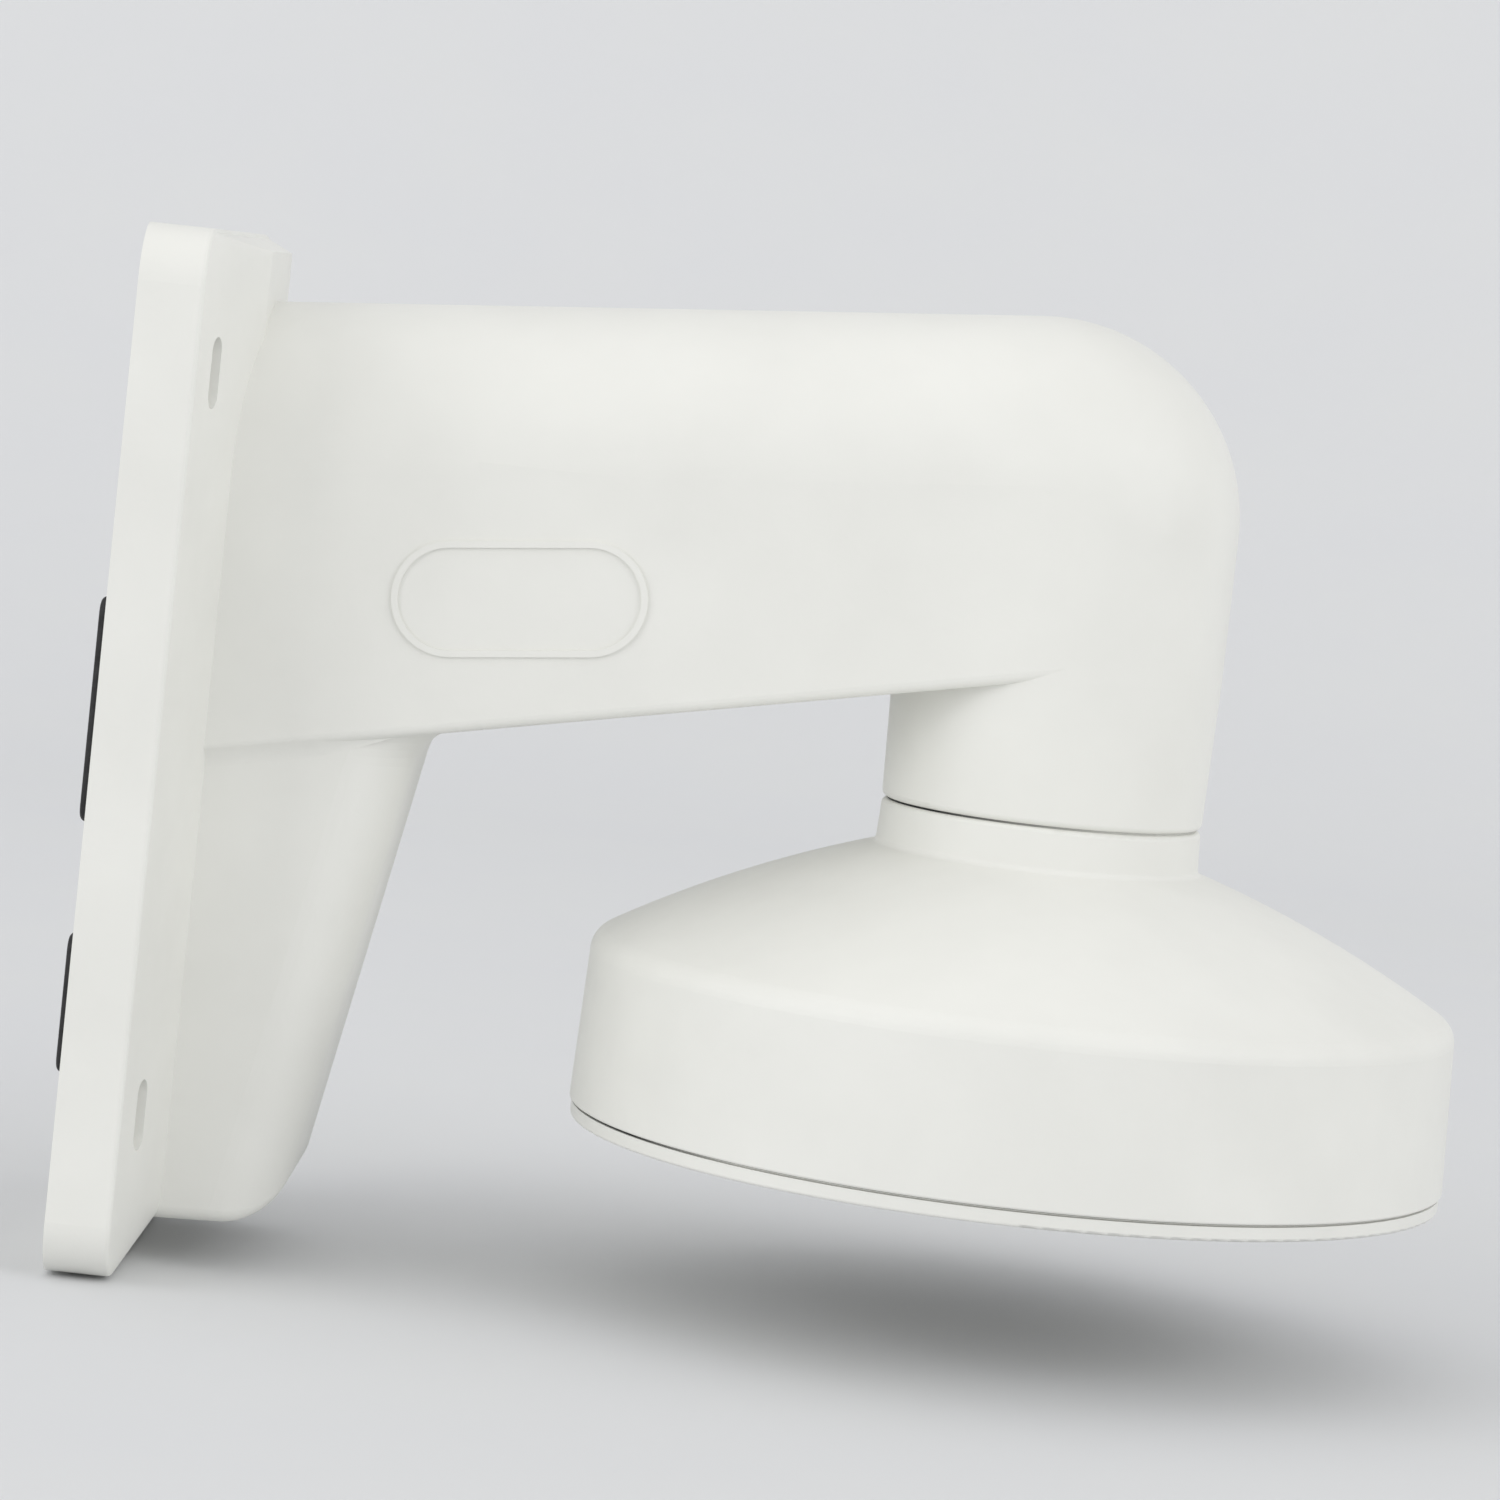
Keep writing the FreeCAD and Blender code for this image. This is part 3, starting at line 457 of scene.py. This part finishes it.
cover_screws = recessed_screws(
    "cover_screws_recessed", countersunk(head=3.0, shank=1.5, length=10.2),
    reach=1.5, depth=1.3, places=COVER_SCREW_PLACES, direction=INTO_PLATE,
)
neck_screws = recessed_screws(
    "neck_screws_recessed", PAN_HEAD,
    reach=2.1, depth=1.7, places=around_neck(17.0, z=-5.5, first_angle=60), direction=UPWARDS,
)
ring_screws = recessed_screws(
    "ring_screws_recessed", countersunk(head=4.0, shank=2.0, length=11.9),
    reach=2.0, depth=1.7, places=around_neck(57.0, z=-51.1, first_angle=0), direction=UPWARDS,
)
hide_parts("rear_cover_screws")
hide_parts("neck_screws")
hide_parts("ring_screws")
for screws in (cover_screws, neck_screws, ring_screws):
    print(screws.name, len(screws.data.polygons), "faces")


# %% [markdown]
# The cap's rim seal is squeezed when the ring is screwed on, so its edge swells almost out to the
# paint. The measured seal stops short of that, and a deep narrow slot goes black at any colour. A ring
# turned from a small oblong with one full edge stands in for it.

# %% Swollen rim seal
RIM_SEAL_STEPS = 240
RIM_SEAL_SMOOTH = 50
RIM_SEAL_LOW = -48.9
RIM_SEAL_MIDDLE = -48.7
RIM_SEAL_HIGH = -48.5
RIM_SEAL_INSIDE = 64.4
RIM_SEAL_EDGE = 66.6
RIM_SEAL_SWOLLEN = 66.82
SWELL_SHOULDER = (66.78, 0.1)

shoulder_radius, shoulder_rise = SWELL_SHOULDER
rim_outline = [
    (RIM_SEAL_INSIDE, RIM_SEAL_LOW),
    (RIM_SEAL_EDGE, RIM_SEAL_LOW),
    (shoulder_radius, RIM_SEAL_MIDDLE - shoulder_rise),
    (RIM_SEAL_SWOLLEN, RIM_SEAL_MIDDLE),
    (shoulder_radius, RIM_SEAL_MIDDLE + shoulder_rise),
    (RIM_SEAL_EDGE, RIM_SEAL_HIGH),
    (RIM_SEAL_INSIDE, RIM_SEAL_HIGH),
    (RIM_SEAL_INSIDE, RIM_SEAL_LOW),
]
swollen_seal = lathe(rim_outline, RIM_SEAL_STEPS)
swollen_seal.name = "swollen_rim_seal"
swollen_seal.data.transform(Matrix.Translation(Vector((NECK_AXIS, 0, 0)) * MM))
smooth_below(RIM_SEAL_SMOOTH)
swollen_seal.data.materials.append(rim_seal_rubber_painted_light)
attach(swollen_seal, "root")
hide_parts("rim_seal")
print("rim seal", len(swollen_seal.data.polygons), "faces")


# %% [markdown]
# A casting has no sharp inner corners. Where the gusset's side meets the arm above it, a small cove
# softens the step, and it shows as a wide faint shade in place of a hard line. A bevel on the casting
# itself would do it, but measured pieces keep their meshes, so each cove is a sliver laid in the corner.
# It is a row of closed outlines: a curve in front and one point buried in the metal. The curve leaves
# the arm's rounded lower edge and runs down onto the gusset's flat side.

# %% Outline of a cove
ARM_HALF = 25.2
ARM_ROUND = 1.6
ARM_LEAVE = math.radians(33)
GUSSET_HALF = 23.9
UNDER_X = 50.1
UNDER_Z = 6.75
UNDER_SLOPE = 0.199
COVE_DROP = 2.3
COVE_SINK = 0.02
ARM_PULL = 0.9
GUSSET_PULL = 1.3
COVE_ROOT = Vector((-0.8, 0.6))
COVE_POINTS = 10


def under_z(x):
    """The height of the arm's sloping under side, in millimetres."""
    return UNDER_Z + UNDER_SLOPE * (x - UNDER_X)


def cove_outline(x, side, size):
    """A closed outline across the corner at x, shrunk into the corner by a size below 1."""
    corner = Vector((GUSSET_HALF, under_z(x)))
    first = Vector((
        ARM_HALF - ARM_ROUND * (1 - math.cos(ARM_LEAVE)),
        corner.y + ARM_ROUND * (1 - math.sin(ARM_LEAVE)),
    ))
    last = Vector((GUSSET_HALF - COVE_SINK, corner.y - COVE_DROP))
    second = first + Vector((-math.sin(ARM_LEAVE), -math.cos(ARM_LEAVE))) * ARM_PULL
    third = last + Vector((0, GUSSET_PULL))
    points = []
    for step in range(COVE_POINTS):
        t = step / (COVE_POINTS - 1)
        point = first * (1 - t) ** 3
        point += second * 3 * t * (1 - t) ** 2
        point += third * 3 * t * t * (1 - t)
        point += last * t ** 3
        points.append(corner + (point - corner) * size)
    points.append(corner + COVE_ROOT * size)
    return [Vector((x, side * point.x, point.y)) * MM for point in points]


print("cove outline of", COVE_POINTS + 1, "points")


# %% [markdown]
# The outlines are now bridged into one skin and its two ends are filled. The cove starts hidden in the
# plate's pad. Towards the gusset's nose the outlines shrink into the corner, so it fades out with no
# visible end. A mirror modifier could make the far cove, but both would then be one piece, and drawing
# it with the other sign is as short.

# %% Coves between arm and gusset
COVE_START = 11.0
COVE_FADE = 31.0
COVE_END = 42.0
COVE_SMALLEST = 0.02
COVE_STATIONS = 28
COVE_SMOOTH = 30


def make_cove(name, side):
    """One cove. A side of -1 is the near one, at negative Y, and 1 the far one."""
    points, edges = [], []
    for station in range(COVE_STATIONS):
        x = COVE_START + (COVE_END - COVE_START) * station / (COVE_STATIONS - 1)
        faded = 1 - (x - COVE_FADE) / (COVE_END - COVE_FADE)
        size = 1.0 if x < COVE_FADE else max(COVE_SMALLEST, faded)
        start = len(points)
        points += cove_outline(x, side, size)
        count = len(points) - start
        edges += [(start + i, start + (i + 1) % count) for i in range(count)]
    cove = place_mesh(name, points, edges, [])
    bpy.ops.object.mode_set(mode="EDIT")
    bpy.ops.mesh.select_all(action="SELECT")
    bpy.ops.mesh.bridge_edge_loops()
    bpy.ops.mesh.select_all(action="DESELECT")
    bpy.ops.mesh.select_non_manifold()
    bpy.ops.mesh.fill()
    bpy.ops.mesh.select_all(action="SELECT")
    bpy.ops.mesh.normals_make_consistent(inside=False)
    bpy.ops.object.mode_set(mode="OBJECT")
    smooth_below(COVE_SMOOTH)
    cove.data.materials.append(coats["bracket_body"])
    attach(cove, "root")
    return cove


coves = [make_cove("left_cove", -1), make_cove("right_cove", 1)]
print("coves", [(cove.name, len(cove.data.polygons)) for cove in coves])


# %% [markdown]
# A closed skin has exactly two faces at each edge. One look can miss a hole the size of a pin, so the
# edges of every new piece are counted instead: the number of open ones should be 0.

# %% Count open edges
for piece in (cover_screws, neck_screws, ring_screws, swollen_seal, *coves):
    uses = {}
    for polygon in piece.data.polygons:
        for key in polygon.edge_keys:
            uses[key] = uses.get(key, 0) + 1
    print(piece.name, "open edges", sum(1 for count in uses.values() if count != 2))


# %% [markdown]
# The stage is a pale floor that sweeps up behind, so no corner shows. The floor sits under the plate's
# lower edge and keeps a soft shadow. A flat floor with a bright sky would leave a horizon line. A plane
# bent in edit mode is enough: its back edge is lifted into a wall, and a bevel rounds the corner.

# %% Floor and backdrop
FLOOR_Z = cad_low.z - 0.5 * MM
STAGE_HALF = 3.0
STAGE_FRONT = -2.5
STAGE_BACK = 1.6
STAGE_HIGH = 3.2
SWEEP_WIDTH = 0.9
SWEEP_STEPS = 24

bpy.ops.object.select_all(action="DESELECT")
bpy.ops.mesh.primitive_plane_add(size=1)
stage = bpy.context.object
stage.name = "floor"
corners = [
    (-STAGE_HALF, STAGE_FRONT), (STAGE_HALF, STAGE_FRONT),
    (-STAGE_HALF, STAGE_BACK), (STAGE_HALF, STAGE_BACK),
]
for vertex, (x, y) in zip(stage.data.vertices, corners):
    vertex.co = (x, y, FLOOR_Z)
bpy.ops.object.mode_set(mode="EDIT")
bpy.ops.mesh.select_all(action="DESELECT")
bpy.ops.object.mode_set(mode="OBJECT")
for edge in stage.data.edges:
    edge.select = all(stage.data.vertices[i].co.y > STAGE_BACK - MM for i in edge.vertices)
bpy.ops.object.mode_set(mode="EDIT")
bpy.ops.mesh.extrude_region_move(TRANSFORM_OT_translate={"value": (0, 0, STAGE_HIGH)})
bpy.ops.object.mode_set(mode="OBJECT")
sweep = stage.modifiers.new("sweep", "BEVEL")
sweep.width = SWEEP_WIDTH
sweep.segments = SWEEP_STEPS
sweep.limit_method = "ANGLE"
bpy.ops.object.modifier_apply(modifier="sweep")
bpy.ops.object.shade_smooth()
print("floor at", round(FLOOR_Z / MM, 1), "mm")


# %% [markdown]
# Studio backdrops are rolls of matt paper. A glossy floor would mirror the bracket, so the paper is
# rough and hardly shines, and a very slow noise keeps its pale grey from looking computed.

# %% Backdrop paper
PAPER_LIGHT = srgb(223, 224, 225)
PAPER_DARK = srgb(222, 223, 225)
PAPER_ROUGHNESS = 0.9
PAPER_SPECULAR = 0.2
FIBRE_SIZE = 60 * MM

paper, tree, shader = start_material("backdrop_paper")
shader.inputs["Roughness"].default_value = PAPER_ROUGHNESS
shader.inputs["Specular IOR Level"].default_value = PAPER_SPECULAR
fibre = spread(tree, noise(tree, FIBRE_SIZE), 0.0, 1.0)
tree.links.new(blend_colours(tree, fibre, PAPER_LIGHT, PAPER_DARK), shader.inputs["Base Color"])
stage.data.materials.append(paper)
print("floor wears", paper.name)


# %% [markdown]
# A long lens from just under a metre away keeps the bracket's lines nearly parallel. A wide lens close
# up would swell the cap. The camera stands in front of the arm's side, a little above it, looks
# slightly down and leans a few degrees, so the arm's top looks level though it climbs.

# %% Camera
FOCAL_PX = 5600.0
IMAGE_PX = 1500.0
SENSOR_MM = 36.0
CAMERA_PLACE = Vector((97.74, -857.42, 76.77)) * MM
YAW = -0.179
PITCH = 4.639
ROLL = 6.217

yaw, pitch, roll = (math.radians(v) for v in (YAW, PITCH, ROLL))
forward = Vector((
    math.sin(yaw) * math.cos(pitch),
    math.cos(yaw) * math.cos(pitch),
    -math.sin(pitch),
))
right = Vector((math.cos(yaw), -math.sin(yaw), 0.0))
above = right.cross(forward)
right_rolled = right * math.cos(roll) + above * math.sin(roll)
above_rolled = above * math.cos(roll) - right * math.sin(roll)

lens = bpy.data.cameras.new("camera")
lens.sensor_width = SENSOR_MM
lens.lens = FOCAL_PX / IMAGE_PX * SENSOR_MM
camera = bpy.data.objects.new("camera", lens)
turn = Matrix((right_rolled, above_rolled, -forward)).transposed().to_4x4()
camera.matrix_world = Matrix.Translation(CAMERA_PLACE) @ turn
bpy.context.scene.collection.objects.link(camera)
bpy.context.scene.camera = camera
print("lens", round(lens.lens, 1), "mm")


# %% [markdown]
# White on white is a lighting lesson. A strong key lamp would burn the white out, and even light alone
# would flatten it. So two big soft boxes, one from the wall's side and one from the cap's side, shape
# the round forms, and a faint one overhead lifts the cap's cone. All stand far off, so their light is
# nearly the same on every side of the bracket.

# %% Soft boxes
TARGET = Vector((100, 0, 0)) * MM
SOFT_BOXES = {
    # name: (place, width and height, watts), in metres
    "wall_side_box": ((-2.55, -1.53, 0.94), (2.4, 2.0), 30.4),
    "cap_side_box": ((2.55, -1.59, 1.30), (2.4, 2.0), 23.6),
    "top_box": ((0.10, 0.0, 1.60), (1.6, 1.6), 1.2),
}

for name, (place, size, watts) in SOFT_BOXES.items():
    light = bpy.data.lights.new(name, "AREA")
    light.shape = "RECTANGLE"
    light.size, light.size_y = size
    light.energy = watts
    lamp = bpy.data.objects.new(name, light)
    lamp.location = place
    lamp.rotation_euler = (TARGET - lamp.location).to_track_quat("-Z", "Y").to_euler()
    bpy.context.scene.collection.objects.link(lamp)


# %% [markdown]
# Most of the light comes evenly from the world, so no side goes grey. But a world that is pale enough
# for the background would light the bracket too much. So the world has two faces: a milder one that
# lights the object, and a pale tone for all that looks straight at it, by eye, by mirror or through
# glass. The kind of ray tells which face is wanted.

# %% World light
FILL_STRENGTH = 0.755
SEEN_PALE = srgb(236, 237, 238)

world = bpy.data.worlds.new("studio")
bpy.context.scene.world = world
world.use_nodes = True
tree = world.node_tree
tree.nodes.clear()


def larger(first, second):
    """The larger of two node outputs, as an output of its own."""
    node = tree.nodes.new("ShaderNodeMath")
    node.operation = "MAXIMUM"
    tree.links.new(first, node.inputs[0])
    tree.links.new(second, node.inputs[1])
    return node.outputs["Value"]


fill = tree.nodes.new("ShaderNodeBackground")
fill.inputs["Color"].default_value = (1.0, 1.0, 1.0, 1.0)
fill.inputs["Strength"].default_value = FILL_STRENGTH
seen = tree.nodes.new("ShaderNodeBackground")
seen.inputs["Color"].default_value = SEEN_PALE
seen.inputs["Strength"].default_value = 1.0
path = tree.nodes.new("ShaderNodeLightPath")
mirrored = larger(path.outputs["Is Glossy Ray"], path.outputs["Is Transmission Ray"])
looked_at = larger(path.outputs["Is Camera Ray"], mirrored)
choose = tree.nodes.new("ShaderNodeMixShader")
tree.links.new(looked_at, choose.inputs["Fac"])
tree.links.new(fill.outputs["Background"], choose.inputs[1])
tree.links.new(seen.outputs["Background"], choose.inputs[2])
output = tree.nodes.new("ShaderNodeOutputWorld")
tree.links.new(choose.outputs["Shader"], output.inputs["Surface"])
bpy.context.scene.view_settings.view_transform = "Standard"
print("world lights at", FILL_STRENGTH)
